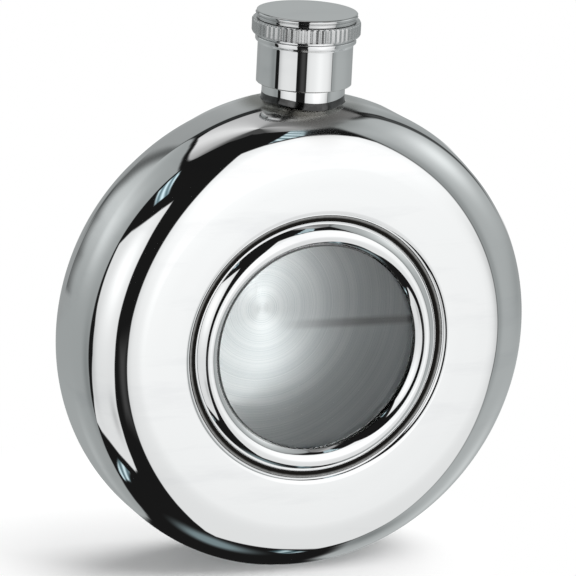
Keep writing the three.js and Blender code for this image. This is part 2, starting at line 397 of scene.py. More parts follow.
bodySteel = polishedSteel("body_polish", heatAndReflectionAtNeck=True)
trimSteel = polishedSteel("trim_polish", 0.7, 0.3)
capSteel = polishedSteel("cap_polish", 0.8, 0.3)
# painted shade: the lid is cap steel darkened to 0.8, so its top reads grey rather than white
lidSteel = polishedSteel("lid_polish", 0.8, 0.3, shade=0.8)
fluteSteel = polishedSteel("flute_polish", 2.0, 0.3, 0.26, 0.72)
insideSteel = turnedSteel("inside_turned")
weldSeam = weldSteel("neck_weld")
# painted shade: the ring nut takes the weld's dark steel at 0.45, standing in for the shadow at the window's inner
# rim
nutShadeSteel = weldSteel("nut_painted_shade", 0.45)
paneClear = clearPane("pane_clear")
sealRubber = softPlastic("seal_silicone", (0.03, 0.031, 0.032, 1), (0.018, 0.018, 0.019, 1), 0.55, 1800)
linerRubber = softPlastic("liner_silicone", (0.6, 0.59, 0.56, 1), (0.52, 0.51, 0.48, 1), 0.5, 1500)
insertNylon = softPlastic("insert_nylon", (0.72, 0.71, 0.68, 1), (0.64, 0.63, 0.6, 1), 0.42, 1600)
seatShadeSteel = creviceShadeSteel("seat_painted_shade")
print("materials made")


# Geometry Nodes: flutes round the cap, threads on the spout and in the insert

def nodeGroup(name, labels):
    tree = bpy.data.node_groups.new(name, "GeometryNodeTree")
    tree.interface.new_socket("Geometry", in_out="INPUT", socket_type="NodeSocketGeometry")
    for label in labels:
        kind = "NodeSocketMaterial" if label == "Finish" else "NodeSocketFloat"
        tree.interface.new_socket(label, in_out="INPUT", socket_type=kind)
    tree.interface.new_socket("Geometry", in_out="OUTPUT", socket_type="NodeSocketGeometry")
    return tree, tree.nodes.new("NodeGroupInput"), tree.nodes.new("NodeGroupOutput")


def closeGroup(tree, start, end, moved):
    painted = joinNodes(tree, "GeometryNodeSetMaterial", {"Geometry": moved, "Material": start.outputs["Finish"]})
    tree.links.new(painted.outputs[0], end.inputs[0])


def aroundNeck(tree, start):
    # angle round the neck's axis, height, and the way out from the axis
    place = tree.nodes.new("GeometryNodeInputPosition").outputs[0]
    split = joinNodes(tree, "ShaderNodeSeparateXYZ", {"Vector": place})
    y = figure(tree, "SUBTRACT", split.outputs["Y"], start.outputs["Axis Y"])
    angle = figure(tree, "ARCTAN2", y, split.outputs["X"])
    way = joinNodes(tree, "ShaderNodeCombineXYZ", {
        "X": figure(tree, "COSINE", angle), "Y": figure(tree, "SINE", angle)}).outputs[0]
    return angle, split.outputs["Z"], way


def pushOut(tree, start, way, amount):
    mark = joinNodes(tree, "GeometryNodeInputNamedAttribute", {"Name": "cut"}, data_type="FLOAT")
    amount = figure(tree, "MULTIPLY", amount, mark.outputs["Attribute"])
    offset = joinNodes(tree, "ShaderNodeVectorMath", {0: way, "Scale": amount}, operation="SCALE").outputs[0]
    return joinNodes(tree, "GeometryNodeSetPosition", {
        "Geometry": start.outputs["Geometry"], "Offset": offset}).outputs[0]


def upAndDown(tree, part):
    # from 0 up to 1 at the middle of each turn, and down again
    slope = figure(tree, "ABSOLUTE", figure(tree, "SUBTRACT", figure(tree, "MULTIPLY", part, 2.0), 1.0))
    return figure(tree, "SUBTRACT", 1.0, slope)


def fluteTree():
    tree, start, end = nodeGroup("cap_flutes", ("Axis Y", "Flutes", "Depth", "Wander", "Seed", "Finish"))
    angle, _, way = aroundNeck(tree, start)
    turn = figure(tree, "MULTIPLY", figure(tree, "ADD", angle, math.pi), start.outputs["Flutes"])
    # a nudge keeps the points between two flutes from falling either way
    turn = figure(tree, "ADD", figure(tree, "DIVIDE", turn, 2 * math.pi), 1e-4)
    number = figure(tree, "FLOOR", turn)
    ridge = upAndDown(tree, figure(tree, "FRACT", turn))
    lot = joinNodes(tree, "FunctionNodeRandomValue", {
        "ID": number, "Seed": start.outputs["Seed"]}, data_type="FLOAT").outputs[1]
    worn = figure(tree, "SUBTRACT", 1.0, figure(tree, "MULTIPLY", lot, start.outputs["Wander"]))
    drop = figure(tree, "MULTIPLY", figure(tree, "SUBTRACT", figure(tree, "MULTIPLY", ridge, worn), 1.0),
                  start.outputs["Depth"])
    closeGroup(tree, start, end, pushOut(tree, start, way, drop))
    return tree


def threadTree():
    tree, start, end = nodeGroup("neck_thread", ("Axis Y", "Pitch", "Depth", "Crest", "Phase", "Finish"))
    angle, height, way = aroundNeck(tree, start)
    turn = figure(tree, "SUBTRACT", figure(tree, "DIVIDE", height, start.outputs["Pitch"]),
                  figure(tree, "DIVIDE", angle, 2 * math.pi))
    turn = figure(tree, "FRACT", figure(tree, "ADD", figure(tree, "ADD", turn, start.outputs["Phase"]), 100.0))
    ridge = upAndDown(tree, turn)
    rise = smoothSpan(tree, ridge, 0.35, figure(tree, "SUBTRACT", 1.0, start.outputs["Crest"]))
    closeGroup(tree, start, end, pushOut(tree, start, way, figure(tree, "MULTIPLY", rise, start.outputs["Depth"])))
    return tree


def cutByNodes(data, tree, sizes, marks):
    # marks gives how much of the cut each point of the section takes
    data.attributes.new("cut", "FLOAT", "POINT").data.foreach_set("value", marks)
    blank = bpy.data.objects.new("blank", data)
    scene.collection.objects.link(blank)
    modifier = blank.modifiers.new("rule", "NODES")
    modifier.node_group = tree
    for item in tree.interface.items_tree:
        if item.in_out == "INPUT" and item.name in sizes:
            modifier[item.identifier] = sizes[item.name]
    graph = bpy.context.evaluated_depsgraph_get()
    made = bpy.data.meshes.new_from_object(blank.evaluated_get(graph))
    blank.modifiers.clear()
    bpy.data.objects.remove(blank)
    made.attributes.remove(made.attributes["cut"])
    made.set_sharp_from_angle(angle=math.radians(cutSharpTurn))
    return made


flutesRule = fluteTree()
threadRule = threadTree()
print("node trees made")


# Body: two shells that meet at the middle of the rim

flaskBody = dict(
    radius=48.0, half=14.7, rim=11.6, wall=0.8, foot=46.8, steps=360, rimSteps=30, innerSteps=20,
    opening=23.8, openingEdge=0.1, seat=26.75, seatDepth=1.0, seatRound=1.45, rollSteps=24, underSteps=6,
    faceSteps=(3.0, 6.0), backSteps=(26.0, 20.0, 14.0, 8.0, 3.0), spoutHole=7.3, drill=(30.0, 60.0), drillSteps=96,
)


def rimSection():
    # the outer skin from the seam to the flat, and the inner skin back to the seam
    b = flaskBody
    flat = b["radius"] - b["rim"]
    straight = b["half"] - b["rim"]
    tight = b["rim"] - b["wall"]
    outer = [(b["radius"], 0.0)] + arc(flat, straight, b["rim"], b["rim"], 0, 90, b["rimSteps"])
    outer += [(flat - step, b["half"]) for step in b["faceSteps"]]
    inner = [(flat - b["faceSteps"][0], b["half"] - b["wall"])]
    inner += arc(flat, straight, tight, tight, 90, 0, b["innerSteps"]) + [(b["radius"] - b["wall"], 0.0)]
    return outer, inner


def frontSection():
    # the face rolls down into a seat for the bezel
    b = flaskBody
    outer, inner = rimSection()
    lean = math.degrees(math.acos(1 - b["seatDepth"] / b["seatRound"]))
    roll = b["seat"] + b["seatRound"] * math.sin(math.radians(lean))
    centre = b["half"] - b["seatRound"]
    low = b["half"] - b["seatDepth"]
    tight = b["seatRound"] - b["wall"]
    down = arc(roll, centre, b["seatRound"], b["seatRound"], 90, 90 + lean, b["rollSteps"])
    under = arc(roll, centre, tight, tight, 90 + lean, 90, b["underSteps"])
    shelf = soften([
        (b["seat"], low, 0), (b["opening"], low, b["openingEdge"]), (b["opening"], low - b["wall"], b["openingEdge"]),
        (under[0][0], low - b["wall"], 0.2), (*under[0], 0)])[1:-1]
    shelfAt = len(outer) + len(down) - 1
    turnAt = len(outer) + len(down) + cornerSteps + 1
    return outer + down + shelf + under + inner, shelfAt, turnAt


def rearSection():
    b = flaskBody
    outer, inner = rimSection()
    low = b["half"] - b["wall"]
    outside = outer + [(r, b["half"]) for r in b["backSteps"]] + [(0.0, b["half"])]
    inside = [(0.0, low)] + [(r, low) for r in reversed(b["backSteps"])] + inner
    return outside, inside


def footFlat(spot, limit):
    return Vector((spot.x, spot.y, max(spot.z, -limit)))


def makeFrontShell():
    b = flaskBody
    points, shelfAt, turnAt = frontSection()
    points = [(r, -h) for r, h in points]
    # slot 2, the shelf under the bezel, takes the seat's painted shade
    slots = [0 if i < shelfAt else 2 if i < turnAt else 1 for i in range(len(points))]
    shape = lambda spot, i: footFlat(spot, b["foot"] if i <= turnAt else b["foot"] - b["wall"])
    return turnMesh("front_shell_skin", points, b["steps"], bodyCentre, slots, shape)


def makeRearShell():
    # the section is cut open at the axis, so the two skins are turned apart and joined at the seam
    b = flaskBody
    outside, inside = rearSection()
    mesh = bmesh.new()
    uv = mesh.loops.layers.uv.new("turn")
    skins = []
    for slot, run, limit in ((0, outside, b["foot"]), (1, inside, b["foot"] - b["wall"])):
        rings = makeRings(mesh, run, b["steps"], bodyCentre, lambda spot, i: footFlat(spot, limit))
        skinRings(mesh, uv, rings, run, b["steps"], [slot] * len(run))
        skins.append(rings)
    skinRings(mesh, uv, [skins[0][0], skins[1][-1]], [outside[0], inside[-1]], b["steps"], [1])
    return finishMesh("rear_shell_skin", mesh)


def drillNeck(data):
    # the hole for the spout through the crown of the rim
    b = flaskBody
    low, high = b["drill"]
    hole = [(0.0, low), (b["spoutHole"], low), (b["spoutHole"], high), (0.0, high)]
    drill = bpy.data.objects.new("drill", turnMesh("drill", hole, b["drillSteps"], bodyCentre, upright=True))
    shell = bpy.data.objects.new("drilled", data)
    scene.collection.objects.link(drill)
    scene.collection.objects.link(shell)
    cut = shell.modifiers.new("hole", "BOOLEAN")
    cut.operation, cut.solver, cut.object = "DIFFERENCE", "EXACT", drill
    made = bpy.data.meshes.new_from_object(shell.evaluated_get(bpy.context.evaluated_depsgraph_get()))
    shell.modifiers.clear()
    bpy.data.objects.remove(shell)
    bpy.data.objects.remove(drill)
    return made


addPiece("body_front", drillNeck(makeFrontShell()), [bodySteel, insideSteel, seatShadeSteel], "flask", ["front_shell"])
addPiece("body_back", drillNeck(makeRearShell()), [bodySteel, insideSteel], "flask", ["rear_shell"])
print("body shells made")


# Window: convex bezel, pane, seals and ring nut, measured inwards from just in front of the face

window = dict(
    crest=23.05, crestHigh=0.95, crestCurve=2.0, shoulder=32.6, innerFlank=4.2, innerTilt=55.0, outerFlank=5.4,
    outerTilt=56.0, arcSteps=(12, 20, 14), lipDepth=1.0, darkSpans=3, base=0.96, skirt=(22.9, 23.7),
    paneRadius=22.8, pane=(1.1, 4.1), paneEdge=0.3, steps=320,
)
windowPlace = (0, windowFace, bodyCentre[2])


def makeBezel():
    # the bead is a tight crest between two slacker flanks
    w = window
    lean = math.radians(w["shoulder"])
    high = w["crestCurve"] - w["crestHigh"]
    inner, outer = w["innerFlank"], w["outerFlank"]
    side = [(f - w["crestCurve"]) * math.sin(lean) for f in (inner, outer)]
    deep = [high + (f - w["crestCurve"]) * math.cos(lean) for f in (inner, outer)]
    first, middle, last = w["arcSteps"]
    left, right = 270 - w["shoulder"], 270 + w["shoulder"]
    inside = arc(w["crest"] + side[0], deep[0], inner, inner, 270 - w["innerTilt"], left, first)
    top = arc(w["crest"], high, w["crestCurve"], w["crestCurve"], left, right, middle)
    outside = arc(w["crest"] - side[1], deep[1], outer, outer, right, 270 + w["outerTilt"], last)
    bead = inside[:-1] + top + outside[1:]
    bore, wall = w["skirt"]
    foot = [(bead[-1][0], w["base"]), (wall, w["base"]), (wall, w["pane"][1]), (bore, w["pane"][1])]
    points = [(bore, w["lipDepth"]), (bead[0][0], w["lipDepth"])] + bead + foot
    # painted shade: the sharp inner edge takes the seat's dark material, standing in for the shadow inside the bezel
    slots = [1 if i < w["darkSpans"] else 0 for i in range(len(points))]
    return turnMesh("bezel_ring", points, w["steps"], windowPlace, slots)


def makePane():
    w = window
    low, high = w["pane"]
    r, edge = w["paneRadius"], w["paneEdge"]
    points = soften([(0, low, 0), (r, low, edge), (r, high, edge), (0, high, 0)])
    return turnMesh("pane_disc", points, w["steps"], windowPlace)


# a gasket's figures are its bore, its outside, and where it starts and ends
gaskets = {"pane_gasket": (21.8, 22.8, 4.2, 4.7), "body_gasket": (23.8, 26.0, 1.9, 2.4)}
ringNut = dict(bore=21.8, land=23.8, outer=26.0, low=2.5, shelf=4.8, high=5.8)
ringSteps = 160


def makeGasket(name, rounding=0.2):
    inner, outer, low, high = gaskets[name]
    points = soften([(r, h, rounding) for r, h in ((inner, low), (outer, low), (outer, high), (inner, high))])
    return turnMesh(name, points, ringSteps, windowPlace)


def makeRingNut():
    n = ringNut
    points = soften([
        (n["land"], n["low"], 0.1), (n["outer"], n["low"], 0.2), (n["outer"], n["high"], 0.3),
        (n["bore"], n["high"], 0.3), (n["bore"], n["shelf"], 0.15), (n["land"], n["shelf"], 0.1)])
    return turnMesh("ring_nut", points, ringSteps, windowPlace)


addPiece("window_bezel_ring", makeBezel(), [trimSteel, seatShadeSteel], "flask", ["window_bezel"])
addPiece("window_glass", makePane(), [paneClear], "flask", ["window_pane"])
addPiece("pane_gasket", makeGasket("pane_gasket"), [sealRubber], "flask", ["pane_seal"])
addPiece("body_gasket", makeGasket("body_gasket"), [sealRubber], "flask", ["body_seal"])
addPiece("clamp_ring", makeRingNut(), [nutShadeSteel], "flask", ["window_ring_nut"])
print("window made")


# Neck: threaded spout, and the collar with its weld down onto the rim

neck = dict(
    radius=7.0, bore=5.0, top=13.5, bottom=-4.6, steps=144, root=6.45, pitch=2.5, crest=0.3, phase=0.2,
    threadLow=2.6, threadEnd=1.4, runIn=0.5, rows=72, fadeRows=8,
    collar=8.25, collarBore=7.1, collarRise=2.3, collarLift=0.05, collarSteps=192,
    weld=0.35, weldRise=1.35, weldRows=8, weldBack=0.3, weldSink=(0.1, 0.04),
)
neckPlace = (0, bodyCentre[1], crown)


def rimHeight(x, y):
    # height of the body's skin over its axis
    b = flaskBody
    depth = max(abs(y) - (b["half"] - b["rim"]), 0.0)
    r = b["radius"] - b["rim"] + math.sqrt(max(b["rim"] ** 2 - depth ** 2, 0.0))
    return math.sqrt(max(r * r - x * x, 0.0))


def fadeEnds(rows, over):
    # how deep a thread is along its rows, running out at both ends
    return [max(0.0, min(1.0, i / over, (rows - i) / over)) for i in range(rows + 1)]


def cutThread(data, depth, finish, level, steps):
    return cutByNodes(data, threadRule, {
        "Axis Y": bodyCentre[1] * mm, "Pitch": neck["pitch"] * mm, "Depth": depth * mm,
        "Crest": neck["crest"], "Phase": neck["phase"], "Finish": finish},
        np.repeat(np.array(level, np.float32), steps))


def makeSpout():
    n = neck
    rows = n["rows"]
    low, high = n["threadLow"], n["top"] - n["threadEnd"]
    points = [(n["radius"], n["bottom"]), (n["radius"], low - n["runIn"])]
    points += [(n["root"], low + (high - low) * i / rows) for i in range(rows + 1)]
    points += soften([(n["root"], high, 0), (n["root"], n["top"], 0.5), (n["bore"], n["top"], 0.5),
                      (n["bore"], n["bottom"], 0.2)])[1:]
    data = turnMesh("spout_tube", points, n["steps"], neckPlace, upright=True)
    level = [0.0, 0.0] + fadeEnds(rows, n["fadeRows"]) + [0.0] * (len(points) - rows - 3)
    return cutThread(data, n["radius"] - n["root"], trimSteel, level, n["steps"])


def makeCollar():
    n = neck
    section = soften([(n["collarBore"], 0.0, 0), (n["collar"], 0.0, 0), (n["collar"], n["collarRise"], 0.15),
                      (n["collarBore"], n["collarRise"], 0.15)])
    low = [i for i, p in enumerate(section) if p[1] == 0.0]

    def settle(spot, i):
        if i in low:
            return Vector((spot.x, spot.y, rimHeight(spot.x, spot.y) - flaskBody["radius"] + n["collarLift"]))
        return spot
    return turnMesh("collar_ring", section, n["collarSteps"], neckPlace, shape=settle, upright=True)


def makeWeld():
    # a concave fillet from the collar's wall down to the rim
    n = neck
    turns = [math.radians(90 * i / n["weldRows"]) for i in range(n["weldRows"] + 1)]
    section = [(n["collar"] - n["weldBack"], 0.0)]
    section += [(n["collar"] + n["weld"] * (1 - math.sin(t)), i + 1) for i, t in enumerate(turns)]

    def settle(spot, i):
        ground = rimHeight(spot.x, spot.y) - flaskBody["radius"]
        if i == 0:
            return Vector((spot.x, spot.y, ground - n["weldSink"][0]))
        rise = n["weldRise"] * (1 - math.cos(turns[i - 1]))
        return Vector((spot.x, spot.y, ground - n["weldSink"][1] + rise))
    return turnMesh("neck_weld_bead", section, n["collarSteps"], neckPlace, shape=settle, upright=True)


addPiece("neck_tube", makeSpout(), [trimSteel], "flask", ["neck_spout"])
addPiece("neck_ring", makeCollar(), [trimSteel], "flask", ["neck_collar"])
addPiece("neck_weld_bead", makeWeld(), [weldSeam], "flask")
print("neck made")


# Cap: shell, fluted band, top plate, threaded insert and liner

cap = dict(
    skirt=9.45, skirtHeight=8.5, chamfer=0.12, cove=0.4, ledge=10.0, ledgeTop=9.4, drumTop=12.8, bore=7.95,
    ceiling=12.0, steps=192,
)
capPlace = (0, bodyCentre[1], capFoot)


def makeCapShell():
    c = cap
    skirt, ledge, bore, top = (c[k] for k in ("skirt", "ledge", "bore", "drumTop"))
    points = soften([
        (0, c["ceiling"], 0), (bore, c["ceiling"], 0.3), (bore, 0, 0.15), (skirt - c["chamfer"], 0, 0.03),
        (skirt, c["chamfer"], 0.05), (skirt, c["skirtHeight"] - c["cove"], 0.3), (ledge, c["skirtHeight"], 0.2),
        (ledge, c["ledgeTop"], 0.25), (skirt, c["ledgeTop"], 0.05), (skirt, top, 0.1), (0, top, 0)])
    return turnMesh("cap_cup", points, c["steps"], capPlace, upright=True)


knurl = dict(radius=10.8, inner=9.55, low=9.9, high=12.8, edge=0.28, ramp=0.2, flutes=60, fluteSteps=12, depth=0.2,
             wander=0.4, seed=4.0)


def makeFlutes():
    k = knurl
    edge = k["radius"] - k["edge"]
    section = soften([
        (k["inner"], k["low"], 0), (edge, k["low"], 0.08), (k["radius"], k["low"] + k["edge"], 0.18),
        (k["radius"], k["high"] - k["edge"], 0.18), (edge, k["high"], 0.08), (k["inner"], k["high"], 0)])
    steps = k["flutes"] * k["fluteSteps"]
    data = turnMesh("flute_band", section, steps, capPlace, upright=True)
    level = [min(1.0, max(0.0, (p[0] - edge) / k["ramp"])) for p in section]
    return cutByNodes(data, flutesRule, {
        "Axis Y": bodyCentre[1] * mm, "Flutes": float(k["flutes"]), "Depth": k["depth"] * mm,
        "Wander": k["wander"], "Seed": k["seed"], "Finish": fluteSteel},
        np.repeat(np.array(level, np.float32), steps))


lid = dict(radius=10.15, low=12.9, high=14.4, band=9.9, groove=(0.5, 0.62, 0.72), grooveDeep=0.2, edge=(0.5, 0.45),
           edgeFrom=-35, edgeSteps=18, flatSteps=(3.0, 6.0))


def makeTopPlate():
    t = lid
    below, middle, above = (t["low"] + rise for rise in t["groove"])
    wide, tall = t["edge"]
    points = soften([(0, t["low"], 0), (t["band"], t["low"], 0.06), (t["band"], below, 0.08),
                     (t["band"] - t["grooveDeep"], middle, 0.05), (t["band"], above, 0)])
    points += arc(t["radius"] - wide, t["high"] - tall, wide, tall, t["edgeFrom"], 90, t["edgeSteps"])
    points += [(t["radius"] - step, t["high"]) for step in t["flatSteps"]] + [(0, t["high"])]
    return turnMesh("cap_lid", points, cap["steps"], capPlace, upright=True)


insert = dict(low=0.6, high=10.9, inner=7.15, outer=7.85, depth=0.4, rows=64, fadeRows=5, steps=144)


def makeInsert():
    n = insert
    rows = n["rows"]
    points = [(n["outer"], n["low"]), (n["outer"], n["high"])]
    points += [(n["inner"], n["high"] - (n["high"] - n["low"]) * i / rows) for i in range(rows + 1)]
    data = turnMesh("thread_insert", points, n["steps"], capPlace, upright=True)
    return cutThread(data, n["depth"], insertNylon, [0.0, 0.0] + fadeEnds(rows, n["fadeRows"]), n["steps"])


liner = dict(radius=7.85, low=11.0, high=11.9, groove=(5.0, 5.3, 6.9, 7.2), grooveTop=11.2, steps=128)


def makeLiner():
    n = liner
    a, b, c, d = n["groove"]
    points = soften([
        (0, n["low"], 0), (a, n["low"], 0.1), (b, n["grooveTop"], 0.1), (c, n["grooveTop"], 0.1), (d, n["low"], 0.1),
        (n["radius"], n["low"], 0.15), (n["radius"], n["high"], 0.15), (0, n["high"], 0)])
    return turnMesh("cap_seal", points, n["steps"], capPlace, upright=True)


addPiece("cap_cup", makeCapShell(), [capSteel], "cap", ["cap_shell"])
addPiece("cap_flutes", makeFlutes(), [fluteSteel], "cap", ["cap_knurl_band"])
addPiece("cap_lid", makeTopPlate(), [lidSteel], "cap", ["cap_top_plate"])
addPiece("cap_insert", makeInsert(), [insertNylon], "cap", ["cap_thread_insert"])
addPiece("cap_seal", makeLiner(), [linerRubber], "seal", ["cap_liner"])
print("cap made")


# Camera, from the fit to the photograph

shot = dict(azimuth=-22.6, elevation=15.2, roll=2.9, distance=1010.0, pixelsPerMm=5.005, spot=(291.0, 328.7),
            frame=576.0, sensor=36.0, clip=(0.05, 20.0))


def directionFrom(azimuth, elevation):
    a, e = math.radians(azimuth), math.radians(elevation)
    return Vector((math.sin(a) * math.cos(e), -math.cos(a) * math.cos(e), math.sin(e)))


def placeCamera():
    a, roll = math.radians(shot["azimuth"]), math.radians(shot["roll"])
    back = directionFrom(shot["azimuth"], shot["elevation"])
    right = Vector((math.cos(a), math.sin(a), 0))
    up = back.cross(right)
    across = right * math.cos(roll) + up * math.sin(roll)
    upward = back.cross(across)
    half = shot["frame"] / 2
    aim = Vector(bodyCentre) - across * (shot["spot"][0] - half) / shot["pixelsPerMm"] \
        + upward * (shot["spot"][1] - half) / shot["pixelsPerMm"]
    lens = bpy.data.cameras.new("photo_camera")
    lens.sensor_width = shot["sensor"]
    lens.lens = shot["sensor"] * shot["pixelsPerMm"] * shot["distance"] / shot["frame"]
    lens.clip_start, lens.clip_end = shot["clip"]
    camera = bpy.data.objects.new("photo_camera", lens)
    scene.collection.objects.link(camera)
    spot = (aim + back * shot["distance"]) * mm
    camera.matrix_world = Matrix((
        (across.x, upward.x, back.x, spot.x),
        (across.y, upward.y, back.y, spot.y),
        (across.z, upward.z, back.z, spot.z),
        (0, 0, 0, 1)))
    scene.camera = camera


placeCamera()


# Studio: a light tent that only the reflections see, a white floor and two soft lamps
# Corners are degrees round from the camera and up from the horizon, tones are screen levels from 0 to 255
# A lamp or a glow is its place, its spread each way and how much lighter it makes that place

tent = dict(
    radius=3.2, columns=720, rows=300, steel=0.905, dark=24, table=(92, 108, 112), tableEdge=(74, 86),
    stripeDepth=60, stripePitch=0.085, lamps=[(42, 14, 18, 13, 7.0), (42, -2, 18, 5.5, 2.0), (-39, 14, 7, 12, 2.0)],
)
panels = dict(
    leftWall=dict(tone=(153, 157, 157), soft=1.1, corners=[
        (-74, 58), (-90, 58), (-102, 57), (-113, 55), (-122, 53), (-130, 50), (-137, 45.5), (-143, 41.5),
        (-147.5, 37), (-150, 32), (-151, 25), (-170, 24), (-184, 10), (-184, -18), (-170, -29), (-160, -41),
        (-150, -51), (-140, -56.5), (-130, -59), (-115, -59), (-100, -57), (-90, -53), (-82, -45), (-77, -37),
        (-73.5, -24), (-73, -8), (-72.5, 0), (-73, 10), (-73.5, 25), (-73, 45), (-74, 50)],
        glows=[(-122, 17, 26, 13, 56), (-103, 31, 18, 12, 24), (-140, -37, 22, 10, 16),
               (-80, -25, 9, 24, -24)]),
    rightWall=dict(tone=(166, 170, 170), soft=2.5, corners=[
        (74, 52), (77, 60), (90, 62), (110, 61), (125, 55), (135, 50), (140, 45), (143, 30), (146, 15),
        (150, 5), (157, 0), (184, -14), (184, -22), (176, -31), (171, -41), (163, -52), (155, -56), (147, -58),
        (130, -61), (110, -62), (101, -59.5), (98.5, -52), (92, -44.7), (85.3, -36.5), (77, -27.5), (71.2, -21),
        (71, -10), (72, 10), (72.2, 30), (72.8, 40)],
        glows=[(113, 29, 22, 14, 64), (137, -36, 24, 8, 30), (112, -57, 24, 7, -42), (140, -8, 25, 8, -18),
               (75, 10, 7, 40, -26), (95, 58, 30, 6, -14)]),
    backLeft=dict(tone=(150, 153, 153), soft=1.5, corners=[
        (-210, 35), (-186, 35), (-170, 34), (-152, 31), (-146, 25), (-140, 18), (-135, 10), (-132.5, 2),
        (-133, -8), (-137, -13), (-150, -15), (-186, -17), (-210, -14)],
        glows=[(-141, 11, 3.5, 6, -80), (-178, 16, 14, 12, 28)]),
    backLeftLine=dict(tone=(90, 92, 92), soft=1.2, corners=[
        (-151, 32), (-146, 25), (-140, 18), (-135, 10), (-132.5, 2), (-133, -6), (-135, -6), (-135, 2),
        (-137.5, 10), (-142.5, 18), (-149, 25), (-153, 32)]),
    backLeftShade=dict(tone=(44, 46, 46), soft=1.5, corners=[
        (-166, 45), (-160, 44), (-150, 41), (-148, 38), (-151, 33), (-150, 30), (-160, 33.5), (-170, 35),
        (-172, 40)]),
    backRight=dict(tone=(152, 156, 156), soft=2.0, corners=[
        (151, 45), (165, 40), (190, 30), (190, -10), (170, -3), (157, 2), (152, 8), (152, 25)],
        glows=[(180, 16, 14, 12, 26), (-180, 16, 14, 12, 26)]),
    backRightShade=dict(tone=(70, 72, 72), soft=2.5, corners=[
        (142, 48), (149, 43), (150, 20), (149, 5), (147, 2), (145, 10), (143, 28)]),
    backLeftLamp=dict(tone=(255, 255, 255), soft=1.2, corners=[
        (-166, 11), (-162, 2), (-168, -9), (-176, -14), (-184, -14), (-184, -8), (-175, 0)]),
    backRightLamp=dict(tone=(255, 255, 255), soft=1.5, corners=[
        (157, 4), (163, 4), (170, -3), (182, -11), (182, -17), (172, -12), (160, -6)]),
    gapGlow=dict(tone=(64, 64, 64), soft=5, corners=[(-9, -12), (3, -12), (5, -31), (-6, -31)]),
    leftBox=dict(tone=(220, 221, 221), soft=0.8, corners=[
        (-70.3, 25), (-60, 30.8), (-45, 34.2), (-30, 37.5), (-20.5, 38.7), (-19, 35), (-17.2, 18), (-18, 2),
        (-18.5, -5), (-17.5, -15), (-18, -22), (-20, -30), (-19.8, -38), (-22.3, -48), (-25.8, -53),
        (-31.7, -54.7), (-40, -52.5), (-50, -50.3), (-60, -46.7), (-73, -42.5), (-78, -39), (-69, -30),
        (-63.5, -15), (-64, -5), (-66.7, 1.7), (-68, 10), (-69.2, 18)],
        glows=[(-37, 14, 15, 20, 42), (-64, -16, 7, 16, -30), (-28, -35, 6, 7, -32)]),
    rightBox=dict(tone=(222, 223, 223), soft=0.9, corners=[
        (11.7, 51.7), (13.3, 53.8), (26.7, 53.3), (36.7, 51.7), (48, 50.8), (60, 47.5), (68.3, 42.5),
        (71.3, 36.7), (71.7, 26.7), (72, 10), (70.8, -3.3), (70.5, -20), (76.7, -26.7), (85, -35.8),
        (91.7, -44), (98, -51), (99, -58), (95, -65), (76.7, -66.5), (60, -69.5), (40, -73), (26.7, -75),
        (16.7, -72.5), (11.7, -65), (9.2, -55), (8.5, -48), (8, -38), (7.5, -31.7), (6.5, -22), (6.5, -13),
        (5.5, -8), (6, 1.7), (6.8, 18.3), (8.3, 35), (10, 45)],
        glows=[(40, 22, 34, 30, 56), (42, -14, 14, 16, 4), (38, -6, 9, 9, 26), (71, -10, 8, 9, -34),
               (6, -10, 6, 30, -14)]),
    upperLeftBlind=dict(tone=(160, 184, 192), soft=0.7, stripes=(14.5, 5.7),
        corners=[(-69, 58.5), (-61, 57), (-40, 46.5), (-50, 42), (-68, 48)]),
    upperRightBlind=dict(tone=(160, 180, 186), soft=0.7, stripes=(10, 12),
        corners=[(29, 54.5), (40, 62), (50, 67), (56, 61), (48, 52.5)]),
    lowerLeftBlind=dict(tone=(150, 172, 178), soft=0.7, stripes=(12, -4),
        corners=[(-90, -59), (-70, -61), (-50, -57), (-62, -52.5), (-88, -56)]),
    lowerRightBlind=dict(tone=(120, 140, 145), soft=1.0, stripes=(12, 4),
        corners=[(74, -69), (84, -74), (108, -73), (102, -68)]),
)
ceiling = dict(
    edge=[(-180, 47), (-160, 45.5), (-150, 43), (-143, 44), (-137, 49), (-130, 53), (-122, 56), (-113, 58),
          (-102, 60), (-90, 61.5), (-80, 63), (-72, 66), (-62, 72), (-50, 78), (0, 82), (30, 77), (42, 71),
          (50, 66), (58, 61), (74, 59), (90, 63), (125, 57), (140, 50), (160, 50), (180, 52)],
    tone=[(-180, 170), (-160, 184), (-150, 200), (-138, 222), (-128, 222), (-115, 206), (-100, 184), (-85, 168),
          (-72, 130), (-60, 90), (-40, 70), (30, 70), (45, 140), (60, 172), (72, 126), (110, 122), (150, 140),
          (180, 170)], soft=0.9)


def insideDepth(az, el, corners):
    # how far each direction lies inside the panel, in degrees; less than nothing outside
    near = np.full(az.shape, 1e9)
    inside = np.zeros(az.shape, bool)
    for (ax, ay), (bx, by) in zip(corners, corners[1:] + corners[:1]):
        along = np.clip(((az - ax) * (bx - ax) + (el - ay) * (by - ay)) / ((bx - ax) ** 2 + (by - ay) ** 2), 0, 1)
        near = np.minimum(near, np.hypot(az - ax - along * (bx - ax), el - ay - along * (by - ay)))
        if ay != by:
            inside ^= ((ay > el) != (by > el)) & (az < (bx - ax) * (el - ay) / (by - ay) + ax)
    return np.where(inside, near, -near)


def easeIn(value, low, high):
    t = np.clip((value - low) / (high - low), 0, 1)
    return t * t * (3 - 2 * t)


def spotLight(az, el, midAz, midEl, wide, tall, lift):
    return lift * np.exp(-((az - midAz) / wide) ** 2 - ((el - midEl) / tall) ** 2)


def screenToLight(level):
    return np.where(level <= 0.04045, level / 12.92, ((level + 0.055) / 1.055) ** 2.4)


